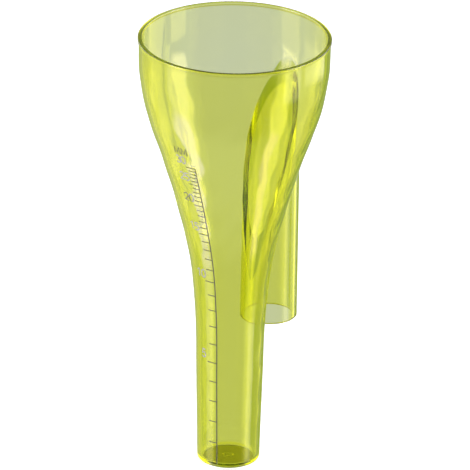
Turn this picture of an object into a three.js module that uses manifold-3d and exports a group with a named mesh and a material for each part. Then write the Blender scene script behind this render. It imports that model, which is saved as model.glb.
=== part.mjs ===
// Pole-mounted rain gauge: a one-piece clear plastic vessel with a round cup that catches the
// rain, a flared shoulder, a slim measuring tube with a closed floor, and an open-ended sleeve
// behind it that slides down over a garden pole. A millimetre scale is printed on the front.
//
// Millimetres, +Z up. The origin is the middle of the base, the sleeve is on +Y, the scale on -Y.
import * as THREE from 'three';
import { mergeVertices } from 'three/addons/utils/BufferGeometryUtils.js';
import Module from 'manifold-3d';

const { degToRad, lerp, smoothstep } = THREE.MathUtils;
const wasm = await Module();
wasm.setup();

// ---- Driving dimensions -----------------------------------------------------------------

const HEIGHT = 208;
const LIP_RADIUS = 44;
const MOUTH_RADIUS = 42; // inside the lip: the circle that catches the rain
const LIP_HEIGHT = 1.8;
const LIP_CHAMFER = 0.4;
const BASE_FILLET = 2.2;
const FLOOR = 2; // thickness of the tube's floor
const FLOOR_FILLET = 1; // inside corner between floor and wall
const TUBE_WALL = 1.75;
const CUP_WALL = 1.5;
const NEIGHBOUR_GAP = 0.3; // clearance between neighbouring solids

// Outside of the vessel below its lip, as [height, radius]: tube, flare, cup
const OUTLINE = [
  [0, 14.2], [40, 15.2], [76, 16.35], [100, 18.95], [125, 24.75],
  [150, 32.2], [175, 40.3], [190, 43], [HEIGHT, 43.6],
];
const THINNING = [80, 150]; // the wall thins from tube to cup between these heights
const LEVEL_STEP = 10.3; // height between the rings of the turned body
const ROUND_SEGMENTS = 48;
const ARC_STEPS = 3;

const SLEEVE_OFFSET = 29.65; // from the vessel's axis to the sleeve's
const SLEEVE_RADIUS = 12.75;
const SLEEVE_BORE = 11.05;
const SLEEVE_BOTTOM = 61.75;
const SLEEVE_SEGMENTS = 40;

const MARK_COUNT = 30; // millimetres of rain on the scale
const MARKS_PER_NUMBER = 5;
const LINE_X = 3.85; // the scale's upright line
const LINE_WIDTH = 0.5;
const MARK_LENGTH = 3.9;
const LONG_MARK_LENGTH = 4.9;
const MARK_WIDTH = 0.42;
const NUMBER_X = -3.35; // middle of each number
const NUMBER_RISE = 3.3; // from a mark to the middle of its number
const DIGIT_HEIGHT = 3.9;
const DIGIT_PITCH = 2.9;
const LETTER_HEIGHT = 3.6;
const LETTER_PITCH = 4;
const UNIT_X = -2.2; // middle of the unit
const UNIT_RISE = 8.2; // from the top mark to the middle of the unit
const STROKE = 0.6;
const INK_INNER = 0.3; // the printed film lies between these distances from the wall
const INK_OUTER = 0.6;

// ---- Materials --------------------------------------------------------------------------

function material(color, roughness, opacity = 1) {
  return new THREE.MeshStandardMaterial({
    color, roughness, metalness: 0, opacity, transparent: opacity < 1,
  });
}

const plastic = material(0xc0cc4b, 0.08, 0.5);
const ink = material(0x9a9a78, 0.6);

// ---- The vessel's wall ------------------------------------------------------------------

// Slope of the outline at one of its points, weighted between the neighbouring spans
function slopeAt(i) {
  const slope = (j) => (OUTLINE[j + 1][1] - OUTLINE[j][1]) / (OUTLINE[j + 1][0] - OUTLINE[j][0]);
  if (i === 0) return slope(0);
  if (i === OUTLINE.length - 1) return slope(i - 1);
  const before = OUTLINE[i][0] - OUTLINE[i - 1][0];
  const after = OUTLINE[i + 1][0] - OUTLINE[i][0];
  return (after * slope(i - 1) + before * slope(i)) / (before + after);
}

// Outside radius at a height: a smooth cubic through the outline's points
function outerRadius(z) {
  let i = OUTLINE.findLastIndex(([height]) => height <= z);
  i = Math.min(Math.max(i, 0), OUTLINE.length - 2);
  const [low, radiusLow] = OUTLINE[i];
  const [high, radiusHigh] = OUTLINE[i + 1];
  const span = high - low;
  const t = (z - low) / span;
  const t2 = t * t;
  const t3 = t2 * t;
  return radiusLow * (2 * t3 - 3 * t2 + 1) + radiusHigh * (3 * t2 - 2 * t3)
    + span * (slopeAt(i) * (t3 - 2 * t2 + t) + slopeAt(i + 1) * (t3 - t2));
}

// Inside radius at a height: the wall's thickness is measured square to its slope
function innerRadius(z) {
  const slope = outerRadius(z + 0.5) - outerRadius(z - 0.5);
  const wall = lerp(TUBE_WALL, CUP_WALL, smoothstep(z, ...THINNING));
  return outerRadius(z) - wall * Math.hypot(1, slope);
}

function arc(centreX, centreY, radiusX, radiusY, from, to, steps) {
  const curve = new THREE.EllipseCurve(
    centreX, centreY, radiusX, radiusY, degToRad(from), degToRad(to), to < from);
  return curve.getPoints(steps);
}

// Points [radius, height] on one face of the wall, from one height to another
function wallPoints(radiusAt, from, to) {
  const steps = Math.round(Math.abs(to - from) / LEVEL_STEP);
  return Array.from({ length: steps + 1 }, (_, i) => {
    const z = lerp(from, to, i / steps);
    return new THREE.Vector2(radiusAt(z), z);
  });
}

function turned(points, segments = ROUND_SEGMENTS) {
  return new THREE.LatheGeometry(points, segments).rotateX(Math.PI / 2);
}

function bodyGeometry() {
  const floorCorner = FLOOR + FLOOR_FILLET;
  const lipBottom = HEIGHT - LIP_HEIGHT;
  return turned([
    new THREE.Vector2(0, 0),
    ...arc(outerRadius(BASE_FILLET) - BASE_FILLET, BASE_FILLET,
      BASE_FILLET, BASE_FILLET, -90, 0, ARC_STEPS),
    ...wallPoints(outerRadius, BASE_FILLET, lipBottom).slice(1),
    new THREE.Vector2(LIP_RADIUS, lipBottom + LIP_CHAMFER),
    new THREE.Vector2(LIP_RADIUS, HEIGHT - LIP_CHAMFER),
    new THREE.Vector2(LIP_RADIUS - LIP_CHAMFER, HEIGHT),
    new THREE.Vector2(MOUTH_RADIUS + LIP_CHAMFER, HEIGHT),
    new THREE.Vector2(MOUTH_RADIUS, HEIGHT - LIP_CHAMFER),
    ...wallPoints(innerRadius, lipBottom, floorCorner),
    ...arc(innerRadius(floorCorner) - FLOOR_FILLET, floorCorner,
      FLOOR_FILLET, FLOOR_FILLET, 0, -90, ARC_STEPS).slice(1),
    new THREE.Vector2(0, FLOOR),
  ]);
}

// ---- Joining and cutting ----------------------------------------------------------------

function solid(geometry) {
  const bare = geometry.clone().deleteAttribute('normal').deleteAttribute('uv');
  const merged = mergeVertices(bare);
  return new wasm.Manifold(new wasm.Mesh({
    numProp: 3,
    vertProperties: merged.attributes.position.array,
    triVerts: merged.index.array,
  }));
}

function geometryOf(manifold) {
  const mesh = manifold.getMesh();
  const geometry = new THREE.BufferGeometry();
  geometry.setAttribute('position', new THREE.BufferAttribute(mesh.vertProperties, 3));
  geometry.setIndex(new THREE.BufferAttribute(mesh.triVerts, 1));
  geometry.computeVertexNormals();
  return geometry;
}

function fused(geometries) {
  return geometryOf(geometries.map(solid).reduce((whole, piece) => whole.add(piece)));
}

// ---- The pole sleeve --------------------------------------------------------------------

// An upright pipe, open below, that runs up into the cup's flaring wall and ends there
function sleeveGeometry() {
  const pipe = turned([
    new THREE.Vector2(SLEEVE_BORE, SLEEVE_BOTTOM),
    new THREE.Vector2(SLEEVE_RADIUS, SLEEVE_BOTTOM),
    new THREE.Vector2(SLEEVE_RADIUS, HEIGHT),
    new THREE.Vector2(SLEEVE_BORE, HEIGHT),
    new THREE.Vector2(SLEEVE_BORE, SLEEVE_BOTTOM),
  ], SLEEVE_SEGMENTS).translate(0, SLEEVE_OFFSET, 0);
  const clearOfBody = turned([
    new THREE.Vector2(0, 0),
    ...wallPoints((z) => outerRadius(z) + NEIGHBOUR_GAP, 0, HEIGHT),
    new THREE.Vector2(0, HEIGHT),
  ]);
  return geometryOf(solid(pipe).subtract(solid(clearOfBody)));
}

// ---- The printed scale ------------------------------------------------------------------

// Height of the water after so many millimetres of rain: the cup gathers mouth area times
// depth, and the vessel fills from its floor
function waterLevel(rain) {
  const target = rain * MOUTH_RADIUS ** 2;
  const step = 0.05;
  let held = 0;
  let z = FLOOR;
  while (held < target) {
    held += step * innerRadius(z + step / 2) ** 2;
    z += step;
  }
  return z;
}

// A point of the print, x across and z up, carried straight back onto the vessel's front
function onWall(x, z, distance) {
  const radius = outerRadius(z) + distance;
  return [x, -Math.sqrt(radius * radius - x * x), z];
}

// A strip of ink of one width along a line of points, lying on the wall
function inkStrip(points, width, closed = false) {
  const count = points.length;
  const spans = closed ? count : count - 1;
  const direction = (i) => {
    const from = points[(i + count) % count];
    const to = points[(i + 1 + count) % count];
    return new THREE.Vector2().subVectors(to, from).normalize();
  };
  const positions = points.flatMap((point, i) => {
    const into = closed || i > 0 ? direction(i - 1) : direction(0);
    const out = closed || i < count - 1 ? direction(i) : into;
    const along = into.clone().add(out).normalize();
    const reach = (width / 2) / Math.max(along.dot(into), 0.6); // mitred, but not to a spike
    const [sideX, sideZ] = [-along.y * reach, along.x * reach];
    return [
      ...onWall(point.x + sideX, point.y + sideZ, INK_INNER),
      ...onWall(point.x - sideX, point.y - sideZ, INK_INNER),
      ...onWall(point.x - sideX, point.y - sideZ, INK_OUTER),
      ...onWall(point.x + sideX, point.y + sideZ, INK_OUTER),
    ];
  });
  const faces = [];
  for (let i = 0; i < spans; i += 1) {
    const here = 4 * i;
    const next = 4 * ((i + 1) % count);
    for (let k = 0; k < 4; k += 1) {
      const side = (k + 1) % 4;
      faces.push(here + k, next + k, next + side, here + k, next + side, here + side);
    }
  }
  const last = 4 * (count - 1);
  if (!closed) faces.push(0, 1, 2, 0, 2, 3, last, last + 2, last + 1, last, last + 3, last + 2);
  const geometry = new THREE.BufferGeometry();
  geometry.setAttribute('position', new THREE.Float32BufferAttribute(positions, 3));
  geometry.setIndex(faces);
  geometry.computeVertexNormals();
  return geometry;
}

// The upright line with its marks standing off it to the left
function ruleGeometry() {
  const top = waterLevel(MARK_COUNT);
  const line = wallPoints(() => LINE_X, FLOOR, top);
  const marks = Array.from({ length: MARK_COUNT }, (_, i) => {
    const length = (i + 1) % MARKS_PER_NUMBER ? MARK_LENGTH : LONG_MARK_LENGTH;
    const z = waterLevel(i + 1) - MARK_WIDTH / 2;
    return inkStrip([
      new THREE.Vector2(LINE_X, z),
      new THREE.Vector2(LINE_X - length / 2, z),
      new THREE.Vector2(LINE_X - length, z),
    ], MARK_WIDTH);
  });
  return fused([inkStrip(line, LINE_WIDTH), ...marks]);
}

// Each character as the strokes of a pen, in a box one unit high
const DIGIT_WIDTH = 0.6;
const LETTER_WIDTH = 0.85;
const middle = DIGIT_WIDTH / 2;
const pen = (...points) => points.map(([x, y]) => new THREE.Vector2(x, y));
const CHARACTERS = {
  0: [arc(middle, 0.5, middle, 0.5, 0, 337.5, 15)],
  1: [pen([0.08, 0.76], [0.38, 1], [0.38, 0])],
  2: [[...arc(middle, 0.7, 0.29, 0.3, 165, -35, 8), ...pen([0, 0], [DIGIT_WIDTH, 0])]],
  3: [arc(middle, 0.76, 0.25, 0.24, 150, -95, 8), arc(middle, 0.27, 0.3, 0.27, 95, -150, 9)],
  5: [[...pen([0.54, 1], [0.1, 1], [0.05, 0.5]), ...arc(0.27, 0.32, 0.32, 0.32, 110, -145, 9)]],
  M: [pen([0, 0], [0.06, 1], [0.425, 0.2], [0.79, 1], [LETTER_WIDTH, 0])],
};

function characterGeometry(character, x, z, height) {
  const width = character === 'M' ? LETTER_WIDTH : DIGIT_WIDTH;
  const place = ({ x: across, y: up }) => new THREE.Vector2(
    x + (across - width / 2) * height, z + (up - 0.5) * height);
  const strokes = CHARACTERS[character].map((stroke) => inkStrip(
    stroke.map(place), STROKE, character === '0'));
  return fused(strokes);
}

// A row of characters, each its own piece of ink: [node name, geometry]
function printedRow(name, text, x, z, height, pitch) {
  return [...text].map((character, i) => {
    const characterX = x + (i - (text.length - 1) / 2) * pitch;
    return [`${name}_${i + 1}`, characterGeometry(character, characterX, z, height)];
  });
}

// ---- Assembly ---------------------------------------------------------------------------

const gauge = new THREE.Group();

function add(name, geometry, meshMaterial) {
  const mesh = new THREE.Mesh(geometry, meshMaterial);
  mesh.name = name;
  gauge.add(mesh);
}

add('gauge_body', bodyGeometry(), plastic);
add('pole_sleeve', sleeveGeometry(), plastic);
add('scale_rule', ruleGeometry(), ink);
for (let mark = MARKS_PER_NUMBER; mark <= MARK_COUNT; mark += MARKS_PER_NUMBER) {
  const z = waterLevel(mark) + NUMBER_RISE;
  for (const [name, geometry] of printedRow(
    `number_${mark}_digit`, String(mark), NUMBER_X, z, DIGIT_HEIGHT, DIGIT_PITCH)) {
    add(name, geometry, ink);
  }
}
for (const [name, geometry] of printedRow(
  'unit_letter', 'MM', UNIT_X, waterLevel(MARK_COUNT) + UNIT_RISE, LETTER_HEIGHT, LETTER_PITCH)) {
  add(name, geometry, ink);
}

export default gauge;
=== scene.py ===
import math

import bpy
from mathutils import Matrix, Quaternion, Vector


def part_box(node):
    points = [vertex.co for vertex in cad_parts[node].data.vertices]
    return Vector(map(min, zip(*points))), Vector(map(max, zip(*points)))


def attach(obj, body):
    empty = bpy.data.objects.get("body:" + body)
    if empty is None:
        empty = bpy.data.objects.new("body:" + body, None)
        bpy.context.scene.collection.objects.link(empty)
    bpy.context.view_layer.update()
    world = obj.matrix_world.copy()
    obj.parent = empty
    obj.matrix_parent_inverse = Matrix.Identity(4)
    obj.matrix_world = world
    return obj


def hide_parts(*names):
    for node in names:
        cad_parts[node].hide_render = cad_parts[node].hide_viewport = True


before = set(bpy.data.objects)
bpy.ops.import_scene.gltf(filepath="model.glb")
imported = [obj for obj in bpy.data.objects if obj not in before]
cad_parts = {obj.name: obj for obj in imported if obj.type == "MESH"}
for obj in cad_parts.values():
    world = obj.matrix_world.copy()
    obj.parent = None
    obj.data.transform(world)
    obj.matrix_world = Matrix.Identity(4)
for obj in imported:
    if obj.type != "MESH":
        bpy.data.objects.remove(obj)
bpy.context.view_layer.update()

# A pole-mounted rain gauge in clear yellow-green plastic: the vessel, the sleeve behind it and
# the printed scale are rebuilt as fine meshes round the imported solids, in the same frame.
# Shapes are worked out in millimetres and written in metres.

MM = 0.001


# ---- Sizes ------------------------------------------------------------------------------

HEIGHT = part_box("gauge_body")[1].z / MM
LIP_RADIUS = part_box("gauge_body")[1].x / MM
LIP_WALL = 2.0
MOUTH_RADIUS = LIP_RADIUS - LIP_WALL
SLEEVE_LOW, SLEEVE_HIGH = (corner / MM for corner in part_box("pole_sleeve"))
SLEEVE_RADIUS = SLEEVE_HIGH.x
SLEEVE_Y = SLEEVE_HIGH.y - SLEEVE_RADIUS
SLEEVE_BOTTOM = SLEEVE_LOW.z
SLEEVE_WALL = 1.7
SLEEVE_BORE = SLEEVE_RADIUS - SLEEVE_WALL
SLEEVE_CHAMFER = 0.3
ROOT_BORE = SLEEVE_BORE - 0.85  # the bore narrows where the sleeve runs into the flare
ROOT_REACH = 25  # height over which it narrows
ROOT_OVERLAP = 0.7  # how deep the sleeve's top ends inside the vessel's wall

LIP_HEIGHT = 1.8
LIP_ROUND = 0.45
LIP_SHOULDER = 0.2  # straight step between the wall and the round under the lip
BASE_FILLET = 2.2
FLOOR = 2.0
FLOOR_FILLET = 1.0
TUBE_WALL = 1.75
CUP_WALL = 1.5
THINNING = (80, 150)  # heights between which the wall thins from tube to cup
GATE_RECESS = 0.22  # depth of the small round recess under the floor
GATE_MARK_RADIUS = 1.1
GATE_RADIUS = 2.2
WALL_STEP = 1.4  # height between the rings of the vessel's walls

# Outside of the vessel below its lip: (height, radius)
OUTLINE = [
    (0, 14.2), (40, 15.2), (76, 16.35), (100, 18.95), (125, 24.75),
    (150, 32.2), (175, 40.3), (190, 43), (HEIGHT, 43.6),
]


def lerp(a, b, t):
    return a + (b - a) * t


def smoothstep(low, high, x):
    t = min(max((x - low) / (high - low), 0), 1)
    return t * t * (3 - 2 * t)


def slope_at(i):
    def slope(j):
        (z0, r0), (z1, r1) = OUTLINE[j:j + 2]
        return (r1 - r0) / (z1 - z0)

    if i == 0:
        return slope(0)
    if i == len(OUTLINE) - 1:
        return slope(i - 1)
    before = OUTLINE[i][0] - OUTLINE[i - 1][0]
    after = OUTLINE[i + 1][0] - OUTLINE[i][0]
    return (after * slope(i - 1) + before * slope(i)) / (before + after)


def outer_radius(z):
    """Outside radius at a height: a smooth cubic through the outline's points."""
    i = max(k for k in range(len(OUTLINE) - 1) if k == 0 or OUTLINE[k][0] <= z)
    (low, radius_low), (high, radius_high) = OUTLINE[i:i + 2]
    span = high - low
    t = (z - low) / span
    rise = t * t * (3 - 2 * t)
    bend = slope_at(i) * t * (1 - t) ** 2 - slope_at(i + 1) * t * t * (1 - t)
    return lerp(radius_low, radius_high, rise) + span * bend


def inner_radius(z):
    slope = outer_radius(z + 0.5) - outer_radius(z - 0.5)
    wall = lerp(TUBE_WALL, CUP_WALL, smoothstep(*THINNING, z))
    return outer_radius(z) - wall * math.hypot(1, slope)


def height_at(radius):
    """Height at which the vessel's outside reaches a radius."""
    low, high = 0, HEIGHT
    for _ in range(30):
        middle = (low + high) / 2
        if outer_radius(middle) < radius:
            low = middle
        else:
            high = middle
    return low


# ---- Meshes -----------------------------------------------------------------------------

SHARP_ANGLE = 25  # degrees


def arc(x, z, radius_x, radius_z, start, end, steps):
    """Points of an arc from one angle to another, in degrees."""
    angles = [math.radians(lerp(start, end, i / steps)) for i in range(steps + 1)]
    return [(x + radius_x * math.cos(a), z + radius_z * math.sin(a)) for a in angles]


def wall_points(radius_at, start, end, step):
    steps = round(abs(end - start) / step)
    heights = [lerp(start, end, i / steps) for i in range(steps + 1)]
    return [(radius_at(z), z) for z in heights]


def shade(mesh):
    """Smooth shading, with edges left sharp where the surface turns a corner."""
    for polygon in mesh.polygons:
        polygon.use_smooth = True
    mesh.set_sharp_from_angle(angle=math.radians(SHARP_ANGLE))


def mesh_object(name, vertices, faces):
    mesh = bpy.data.meshes.new(name)
    mesh.from_pydata([tuple(c * MM for c in v) for v in vertices], [], faces)
    mesh.validate()
    mesh.update()
    shade(mesh)
    piece = bpy.data.objects.new(name, mesh)
    bpy.context.scene.collection.objects.link(piece)
    return piece


RIPPLE_HEIGHT = 0.07  # how far the moulded wall wanders from true
RIPPLE_IN_TUBE = 0.2  # the part of it that is left in the slim tube
RIPPLE_SETS_IN = (4, 24)  # heights between which it sets in above the foot,
RIPPLE_GROWS = (90, 130)  # grows from tube to shoulder,
RIPPLE_FADES = (HEIGHT - 26, HEIGHT - 8)  # and fades below the lip
FLAT_RADIUS = 5  # the middle of the floor has none


def ripple(angle, radius, z):
    """Slow unevenness of the moulded wall, none at the lip and the foot."""
    if radius < FLAT_RADIUS:
        return 0
    fade = smoothstep(*RIPPLE_SETS_IN, z) * (1 - smoothstep(*RIPPLE_FADES, z))
    fade *= lerp(RIPPLE_IN_TUBE, 1, smoothstep(*RIPPLE_GROWS, z))
    waves = math.sin(z / 2.9 + 3 * math.sin(5 * angle)) + 0.7 * math.sin(z / 7 + 4 * angle + 1)
    return RIPPLE_HEIGHT * fade * waves


def turned_piece(name, profile, segments):
    """A closed body turned about Z from a profile that starts and ends on the axis."""
    rings = profile[1:-1]
    vertices = [(0, 0, profile[0][1]), (0, 0, profile[-1][1])]
    for radius, z in rings:
        for k in range(segments):
            a = 2 * math.pi * k / segments
            out = radius + ripple(a, radius, z)
            vertices.append((out * math.sin(a), -out * math.cos(a), z))

    def at(ring, k):
        return 2 + ring * segments + k % segments

    last = len(rings) - 1
    faces = [(0, at(0, k + 1), at(0, k)) for k in range(segments)]
    faces += [(1, at(last, k), at(last, k + 1)) for k in range(segments)]
    faces += [
        (at(ring, k), at(ring, k + 1), at(ring + 1, k + 1), at(ring + 1, k))
        for ring in range(last) for k in range(segments)
    ]
    return mesh_object(name, vertices, faces)


def vessel():
    lip_bottom = HEIGHT - LIP_HEIGHT
    floor_corner = FLOOR + FLOOR_FILLET
    profile = [
        (0, GATE_RECESS),
        (GATE_MARK_RADIUS - 0.3, GATE_RECESS * 0.6),
        (GATE_MARK_RADIUS, GATE_RECESS),
        (GATE_RADIUS, GATE_RECESS),
        (GATE_RADIUS + 0.4, 0),
        *arc(outer_radius(BASE_FILLET) - BASE_FILLET, BASE_FILLET,
             BASE_FILLET, BASE_FILLET, -90, 0, 10),
        *wall_points(outer_radius, BASE_FILLET, lip_bottom, WALL_STEP)[1:],
        *arc(LIP_RADIUS - LIP_ROUND, lip_bottom + LIP_ROUND + LIP_SHOULDER,
             LIP_ROUND, LIP_ROUND, -60, 0, 4),
        *arc(LIP_RADIUS - LIP_ROUND, HEIGHT - LIP_ROUND, LIP_ROUND, LIP_ROUND, 0, 90, 6),
        *arc(MOUTH_RADIUS + LIP_ROUND, HEIGHT - LIP_ROUND, LIP_ROUND, LIP_ROUND, 90, 180, 6),
        *wall_points(inner_radius, lip_bottom, floor_corner, WALL_STEP),
        *arc(inner_radius(floor_corner) - FLOOR_FILLET, floor_corner,
             FLOOR_FILLET, FLOOR_FILLET, 0, -90, 6)[1:],
        (0, FLOOR),
    ]
    return turned_piece("vessel", profile, segments=160)


def sleeve():
    """An upright pipe, open below, whose top ends inside the vessel's flaring wall."""
    segments = 120
    side_steps = 60
    end_steps = 8
    low = SLEEVE_BOTTOM + SLEEVE_CHAMFER
    around = []
    for k in range(segments):
        a = 2 * math.pi * k / segments
        direction = (math.sin(a), -math.cos(a))

        def point(radius):
            return direction[0] * radius, SLEEVE_Y + direction[1] * radius

        def top(radius):
            return height_at(math.hypot(*point(radius)) + ROOT_OVERLAP)

        def down(radius):
            return [lerp(top(radius), low, i / side_steps) for i in range(side_steps + 1)]

        bore_top = top(ROOT_BORE)
        loop = [(SLEEVE_RADIUS, z) for z in reversed(down(SLEEVE_RADIUS))]
        across = [lerp(SLEEVE_RADIUS, ROOT_BORE, i / end_steps) for i in range(1, end_steps)]
        loop += [(radius, top(radius)) for radius in across]
        loop += [(lerp(ROOT_BORE, SLEEVE_BORE, smoothstep(0, ROOT_REACH, bore_top - z)), z)
                 for z in down(ROOT_BORE)]
        loop += [(SLEEVE_BORE + SLEEVE_CHAMFER, SLEEVE_BOTTOM),
                 (SLEEVE_RADIUS - SLEEVE_CHAMFER, SLEEVE_BOTTOM)]
        around.append([(*point(radius), z) for radius, z in loop])
    count = len(around[0])
    faces = []
    for k in range(segments):
        here, there = k * count, (k + 1) % segments * count
        for i in range(count):
            j = (i + 1) % count
            faces.append((here + i, there + i, there + j, here + j))
    return mesh_object("sleeve", [v for loop in around for v in loop], faces)


def moulding():
    """The vessel and its sleeve joined into one body, as they are moulded."""
    whole, pipe = vessel(), sleeve()
    join = whole.modifiers.new("join", "BOOLEAN")
    join.operation = "UNION"
    join.solver = "EXACT"
    join.object = pipe
    evaluated = whole.evaluated_get(bpy.context.evaluated_depsgraph_get())
    joined = bpy.data.meshes.new_from_object(evaluated)
    whole.modifiers.clear()
    whole.data = joined
    bpy.data.objects.remove(pipe)
    shade(joined)
    return whole


# ---- The printed scale ------------------------------------------------------------------

MARK_COUNT = 30
MARKS_PER_NUMBER = 5
LINE_X = 3.85
LINE_WIDTH = 0.5
MARK_LENGTH = 3.9
LONG_MARK_LENGTH = 4.9
MARK_WIDTH = 0.42
NUMBER_X = -3.35
NUMBER_RISE = 3.3
DIGIT_HEIGHT = 3.9
DIGIT_PITCH = 2.9
LETTER_HEIGHT = 3.6
LETTER_PITCH = 4
UNIT_X = -2.2
UNIT_RISE = 8.2
STROKE = 0.6
INK_INNER = 0.02  # the film of ink lies between these distances from the wall
INK_OUTER = 0.07
SHARPEST_CORNER = 0.6  # limits how far the outer corner of a bend reaches out


def on_wall(x, z, distance):
    radius = outer_radius(z) + distance
    return x, -math.sqrt(radius * radius - x * x), z


def water_level(rain):
    """Height of the water after so many millimetres of rain through the mouth."""
    target, step = rain * MOUTH_RADIUS ** 2, 0.05
    held, z = 0, FLOOR
    while held < target:
        held += step * inner_radius(z + step / 2) ** 2
        z += step
    return z


def ink_strip(points, width, closed=False):
    """A film of one width along a line of points (x across, z up), lying on the wall."""
    count = len(points)

    def direction(i):
        (x0, z0), (x1, z1) = points[i % count], points[(i + 1) % count]
        return Vector((x1 - x0, z1 - z0)).normalized()

    vertices = []
    for i, (x, z) in enumerate(points):
        into = direction(i - 1) if closed or i > 0 else direction(0)
        out = direction(i) if closed or i < count - 1 else into
        along = (into + out).normalized()
        reach = (width / 2) / max(along.dot(into), SHARPEST_CORNER)
        side_x, side_z = -along.y * reach, along.x * reach
        vertices += [
            on_wall(x + side_x, z + side_z, INK_INNER), on_wall(x - side_x, z - side_z, INK_INNER),
            on_wall(x - side_x, z - side_z, INK_OUTER), on_wall(x + side_x, z + side_z, INK_OUTER),
        ]
    faces = []
    for i in range(count if closed else count - 1):
        here, there = 4 * i, 4 * ((i + 1) % count)
        for k in range(4):
            side = (k + 1) % 4
            faces.append((here + k, there + k, there + side, here + side))
    if not closed:
        last = 4 * (count - 1)
        faces += [(0, 1, 2, 3), (last + 3, last + 2, last + 1, last)]
    return vertices, faces


def ink_object(name, strips):
    vertices, faces = [], []
    for strip_vertices, strip_faces in strips:
        start = len(vertices)
        vertices += strip_vertices
        faces += [tuple(start + i for i in face) for face in strip_faces]
    return mesh_object(name, vertices, faces)


def rule():
    """The upright line with its marks standing off it to the left."""
    top = water_level(MARK_COUNT)
    line_steps = 120
    mark_steps = 6
    line = [(LINE_X, lerp(FLOOR, top, i / line_steps)) for i in range(line_steps + 1)]
    strips = [ink_strip(line, LINE_WIDTH)]
    for mark in range(1, MARK_COUNT + 1):
        length = MARK_LENGTH if mark % MARKS_PER_NUMBER else LONG_MARK_LENGTH
        z = water_level(mark) - MARK_WIDTH / 2
        start = LINE_X - LINE_WIDTH / 2
        reach = length - LINE_WIDTH / 2
        mark_line = [(start - reach * i / mark_steps, z) for i in range(mark_steps + 1)]
        strips.append(ink_strip(mark_line, MARK_WIDTH))
    return ink_object("print_rule", strips)


# Each character as the strokes of a pen, in a box one unit high: (strokes, box width, closed)
MIDDLE = 0.3
CHARACTERS = {
    "0": ([arc(MIDDLE, 0.5, MIDDLE, 0.5, 0, 345, 23)], 0.6, True),
    "1": ([[(0.08, 0.76), (0.38, 1), (0.38, 0)]], 0.6, False),
    "2": ([[*arc(MIDDLE, 0.7, 0.29, 0.3, 165, -35, 16), (0, 0), (0.6, 0)]], 0.6, False),
    "3": ([arc(MIDDLE, 0.76, 0.25, 0.24, 150, -95, 16),
           arc(MIDDLE, 0.27, 0.3, 0.27, 95, -150, 18)], 0.6, False),
    "5": ([[(0.54, 1), (0.1, 1), (0.05, 0.5),
            *arc(0.27, 0.32, 0.32, 0.32, 110, -145, 18)]], 0.6, False),
    "M": ([[(0, 0), (0.06, 1), (0.425, 0.2), (0.79, 1), (0.85, 0)]], 0.85, False),
}


def character(name, text, x, z, height):
    strokes, width, closed = CHARACTERS[text]
    strips = []
    for stroke in strokes:
        placed = [(x + (across - width / 2) * height, z + (up - 0.5) * height)
                  for across, up in stroke]
        strips.append(ink_strip(placed, STROKE, closed))
    return ink_object(name, strips)


def printed_row(node, text, x, z, height, pitch):
    """A row of characters, as pairs of a piece and the node that it stands for."""
    row = []
    for i, letter in enumerate(text):
        centre = x + (i - (len(text) - 1) / 2) * pitch
        name = f"{node}_{i + 1}"
        row.append((character(f"print_{name}", letter, centre, z, height), name))
    return row


def numbers():
    printed = []
    for mark in range(MARKS_PER_NUMBER, MARK_COUNT + 1, MARKS_PER_NUMBER):
        printed += printed_row(f"number_{mark}_digit", str(mark), NUMBER_X,
                               water_level(mark) + NUMBER_RISE, DIGIT_HEIGHT, DIGIT_PITCH)
    return printed


def unit():
    return printed_row("unit_letter", "MM", UNIT_X, water_level(MARK_COUNT) + UNIT_RISE,
                       LETTER_HEIGHT, LETTER_PITCH)


# ---- Materials --------------------------------------------------------------------------

def new_material(name):
    material = bpy.data.materials.new(name)
    material.use_nodes = True
    nodes = material.node_tree.nodes
    return material, nodes, material.node_tree.links, nodes["Principled BSDF"]


def clear_plastic():
    material, nodes, links, shader = new_material("clear_plastic")
    shader.inputs["Base Color"].default_value = (1, 1, 1, 1)
    shader.inputs["IOR"].default_value = 1.5
    shader.inputs["Transmission Weight"].default_value = 1
    tint = nodes.new("ShaderNodeVolumeAbsorption")
    tint.inputs["Color"].default_value = (0.9915, 0.9935, 0.2, 1)
    tint.inputs["Density"].default_value = 800
    links.new(tint.outputs["Volume"], nodes["Material Output"].inputs["Volume"])

    # The moulded surface isn't quite even: a slow swell and a little variation in polish
    place = nodes.new("ShaderNodeTexCoord").outputs["Object"]
    swell = noise(nodes, links, place, 55, 2)
    bump = nodes.new("ShaderNodeBump")
    bump.inputs["Strength"].default_value = 1
    bump.inputs["Distance"].default_value = 0.03 * MM
    links.new(swell, bump.inputs["Height"])
    links.new(bump.outputs["Normal"], shader.inputs["Normal"])
    polish = nodes.new("ShaderNodeMapRange")
    polish.inputs["To Min"].default_value = 0.01
    polish.inputs["To Max"].default_value = 0.035
    links.new(noise(nodes, links, place, 120, 3), polish.inputs["Value"])
    axes = nodes.new("ShaderNodeSeparateXYZ")
    links.new(place, axes.inputs[0])
    lip = nodes.new("ShaderNodeMapRange")  # the top of the lip is matt
    links.new(axes.outputs["Z"], lip.inputs["Value"])
    lip.inputs["From Min"].default_value = (HEIGHT - LIP_ROUND) * MM
    lip.inputs["From Max"].default_value = (HEIGHT - LIP_ROUND / 4) * MM
    lip.inputs["To Max"].default_value = 0.3
    total = nodes.new("ShaderNodeMath")
    links.new(polish.outputs["Result"], total.inputs[0])
    links.new(lip.outputs["Result"], total.inputs[1])
    links.new(total.outputs[0], shader.inputs["Roughness"])
    return material


def noise(nodes, links, place, scale, detail):
    texture = nodes.new("ShaderNodeTexNoise")
    texture.inputs["Scale"].default_value = scale
    texture.inputs["Detail"].default_value = detail
    links.new(place, texture.inputs["Vector"])
    return texture.outputs["Fac"]


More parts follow.
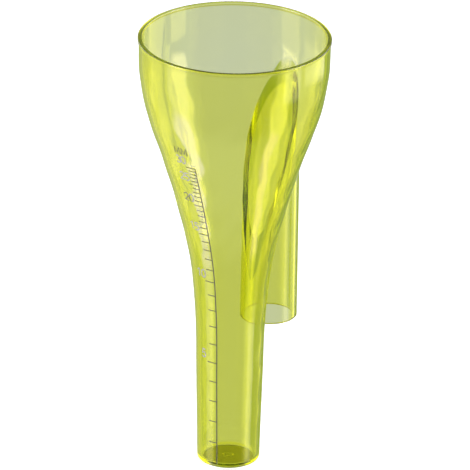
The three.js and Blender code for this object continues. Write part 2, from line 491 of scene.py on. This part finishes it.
def printed_ink(name, dark, light, roughness):
    """Screen-printed ink, whose grey varies a little where it lies thicker or thinner."""
    material, nodes, links, shader = new_material(name)
    place = nodes.new("ShaderNodeTexCoord").outputs["Object"]
    grain = nodes.new("ShaderNodeValToRGB")
    grain.color_ramp.elements[0].position = 0.3
    grain.color_ramp.elements[0].color = (*dark, 1)
    grain.color_ramp.elements[1].position = 0.7
    grain.color_ramp.elements[1].color = (*light, 1)
    links.new(noise(nodes, links, place, 2500, 2), grain.inputs["Fac"])
    links.new(grain.outputs["Color"], shader.inputs["Base Color"])
    shader.inputs["Roughness"].default_value = roughness
    bump = nodes.new("ShaderNodeBump")
    bump.inputs["Strength"].default_value = 0.3
    bump.inputs["Distance"].default_value = 0.02 * MM
    links.new(noise(nodes, links, place, 4000, 2), bump.inputs["Height"])
    links.new(bump.outputs["Normal"], shader.inputs["Normal"])
    return material


def give(piece, material):
    piece.data.materials.clear()
    piece.data.materials.append(material)


# ---- Studio -----------------------------------------------------------------------------

CAMERA_AZIMUTH = 36.6  # degrees, from the front towards +X
CAMERA_ELEVATION = 23.3
CAMERA_ROLL = 0.93
CAMERA_DISTANCE = 5.15  # metres
CAMERA_LENS = 866
AIM_SHIFT = (0.0015, 0.0063)  # metres to the right of and above the middle of the object
BOUNCES = 72  # light runs a long way inside the walls before it leaves them


def camera():
    azimuth = math.radians(CAMERA_AZIMUTH)
    elevation = math.radians(CAMERA_ELEVATION)
    back = Vector((math.sin(azimuth) * math.cos(elevation),
                   -math.cos(azimuth) * math.cos(elevation), math.sin(elevation)))
    data = bpy.data.cameras.new("camera")
    data.lens = CAMERA_LENS
    data.clip_end = 50
    view = bpy.data.objects.new("camera", data)
    bpy.context.scene.collection.objects.link(view)
    view.rotation_mode = "QUATERNION"
    look = (-back).to_track_quat("-Z", "Y")
    roll = Quaternion((0, 0, 1), math.radians(CAMERA_ROLL))
    view.rotation_quaternion = look @ roll
    aim = Vector((0, 0, HEIGHT / 2 * MM)) + look @ Vector((*AIM_SHIFT, 0))
    view.location = aim + back * CAMERA_DISTANCE
    bpy.context.scene.camera = view


# The room, above and below a soft edge 20 degrees under the horizon
ABOVE = (0.5, 0.53, 0.32)
BELOW = (0.62, 0.66, 0.5)

# Each panel: the turn from the camera's side and the height that it spans, both in degrees,
# the width of its soft edge, and its brightness. Later panels lie over earlier ones.
PANELS = [
    ((-52, 52), (-50, 95), 16, (0.12, 0.12, 0.12)),  # the dark room round the camera
    ((150, 210), (4, 70), 14, (0.4, 0.42, 0.2)),  # the dim wall high up behind
    ((92, 152), (-18, 40), 9, (2.25, 2.1, 2.3)),  # wide soft light on the right, towards the back
    ((95, 138), (-24, -17), 3, (1.8, 1.75, 1.7)),  # its foot
    ((-154, -95), (-20, 40), 6, (1.6, 1.55, 1.6)),  # the same light, weaker, on the left
    ((95, 165), (-60, -29), 8, (0.38, 0.4, 0.28)),  # shade under the right-hand light
    ((140, 174), (-60, -19), 6, (0.34, 0.42, 0.18)),  # and beside the backdrop, on both sides
    ((-174, -156), (-60, -10), 6, (0.46, 0.53, 0.26)),
    ((64, 88), (-30, -17), 4, (2.2, 2.1, 1.9)),  # foot of the tall softbox on the right
    ((64, 88), (-8, 50), 5, (4.6, 4.1, 7.5)),  # and the softbox itself
    ((-88, -60), (-42, -12), 4, (1.7, 1.6, 1.5)),  # foot of the tall softbox on the left
    ((-88, -60), (-12, 45), 4, (4.5, 4.1, 6.6)),  # and the softbox itself
    ((173, 187), (-33, -12), 6, (0.58, 0.635, 1.04)),  # the cooler backdrop straight behind
    ((-92, -66), (-62, -38), 8, (2.4, 1.9, 4.0)),  # low fill lights on both sides
    ((58, 74), (-60, -44), 6, (2.0, 1.3, 1.9)),
]


def studio_world():
    """What the plastic reflects and shows: a pale room, lights on both sides and a backdrop."""
    world = bpy.data.worlds.new("studio")
    bpy.context.scene.world = world
    world.use_nodes = True
    nodes, links = world.node_tree.nodes, world.node_tree.links

    def put(value, socket):
        if hasattr(value, "links"):
            links.new(value, socket)
        else:
            socket.default_value = value

    def math_node(operation, *values):
        node = nodes.new("ShaderNodeMath")
        node.operation = operation
        for value, socket in zip(values, node.inputs):
            put(value, socket)
        return node.outputs[0]

    def band(value, low, high, soft):
        """1 where value is between low and high, falling to 0 over a soft edge."""
        sides = []
        for edge, direction in ((low, 1), (high, -1)):
            ramp = nodes.new("ShaderNodeMapRange")
            ramp.interpolation_type = "SMOOTHSTEP"
            put(value, ramp.inputs["Value"])
            ramp.inputs["From Min"].default_value = edge - direction * soft / 2
            ramp.inputs["From Max"].default_value = edge + direction * soft / 2
            sides.append(ramp.outputs["Result"])
        return math_node("MULTIPLY", *sides)

    def around_band(value, low, high, soft):
        """A band of the turn about Z, which may run on past 180 degrees behind."""
        if high <= 180:
            return band(value, low, high, soft)
        before = band(value, low, 200, soft)
        after = band(value, -200, high - 360, soft)
        return math_node("MAXIMUM", before, after)

    def blend(mask, under, over):
        mix = nodes.new("ShaderNodeMix")
        mix.data_type = "RGBA"
        links.new(mask, mix.inputs["Factor"])
        for value, socket in ((under, mix.inputs[6]), (over, mix.inputs[7])):
            put(value if hasattr(value, "links") else (*value, 1), socket)
        return mix.outputs[2]

    direction = nodes.new("ShaderNodeTexCoord").outputs["Generated"]
    turn = nodes.new("ShaderNodeVectorRotate")
    turn.rotation_type = "Z_AXIS"
    turn.inputs["Angle"].default_value = math.radians(-CAMERA_AZIMUTH)
    links.new(direction, turn.inputs["Vector"])
    axes = nodes.new("ShaderNodeSeparateXYZ")
    links.new(turn.outputs["Vector"], axes.inputs[0])
    toward = math_node("MULTIPLY", axes.outputs["Y"], -1.0)
    side = math_node("MULTIPLY", math_node("ARCTAN2", axes.outputs["X"], toward), 180 / math.pi)
    height = math_node("MULTIPLY", math_node("ARCSINE", axes.outputs["Z"]), 180 / math.pi)
    colour = blend(band(height, -91, -20, 24), ABOVE, BELOW)
    for sides, heights, soft, panel in PANELS:
        mask = math_node("MULTIPLY", around_band(side, *sides, soft), band(height, *heights, soft))
        colour = blend(mask, colour, panel)
    lit = nodes["Background"]
    links.new(colour, lit.inputs["Color"])

    seen = nodes.new("ShaderNodeBackground")
    seen.inputs["Color"].default_value = (1, 1, 1, 1)
    path = nodes.new("ShaderNodeLightPath")
    either = nodes.new("ShaderNodeMixShader")
    links.new(path.outputs["Is Camera Ray"], either.inputs[0])
    links.new(lit.outputs[0], either.inputs[1])
    links.new(seen.outputs[0], either.inputs[2])
    links.new(either.outputs[0], nodes["World Output"].inputs["Surface"])


def studio():
    scene = bpy.context.scene
    scene.view_settings.view_transform = "Standard"
    scene.cycles.max_bounces = BOUNCES
    scene.cycles.transmission_bounces = BOUNCES
    scene.cycles.glossy_bounces = BOUNCES
    studio_world()


def pale_sheet(name, colour, emission, radius, z, seen_by_plastic):
    material, _, _, shader = new_material(name)
    shader.inputs["Base Color"].default_value = (*colour, 1)
    shader.inputs["Roughness"].default_value = 0.8
    shader.inputs["Emission Color"].default_value = (1, 1, 1, 1)
    shader.inputs["Emission Strength"].default_value = emission
    corners = [(x, y, z) for x, y in arc(0, 0, radius, radius, 0, 360, 64)[:-1]]
    sheet = mesh_object(name, corners, [tuple(range(64))])
    give(sheet, material)
    sheet.visible_glossy = sheet.visible_transmission = seen_by_plastic


def floor():
    """A wide bright sheet that only the camera sees, and under the base a small, dimmer,
    green-tinted one that the plastic sees: painted shade.
    """
    pale_sheet("floor", (0.9, 0.9, 0.9), 0.62, 3000, -0.6, False)
    # Painted shade: this sheet under the base has none of the floor's glow and is tinted green,
    # and stands in for the contact shadow there
    pale_sheet("floor_under_painted_shade", (0.8, 0.9, 0.75), 0, outer_radius(0) - BASE_FILLET, -0.3, True)


def place(piece, nodes, slot, material):
    give(piece, material)
    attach(piece, "root")
    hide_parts(*nodes)


camera()
studio()
floor()
place(moulding(), ("gauge_body", "pole_sleeve"), "clear_plastic", clear_plastic())
line_ink = printed_ink("line_ink", (0.07, 0.068, 0.04), (0.13, 0.125, 0.08), 0.5)
number_ink = printed_ink("number_ink", (0.33, 0.33, 0.27), (0.45, 0.45, 0.38), 0.5)
place(rule(), ("scale_rule",), "printed_ink", line_ink)
for printed, node in numbers():
    place(printed, (node,), "printed_ink", number_ink)
for printed, node in unit():
    place(printed, (node,), "printed_ink", line_ink)
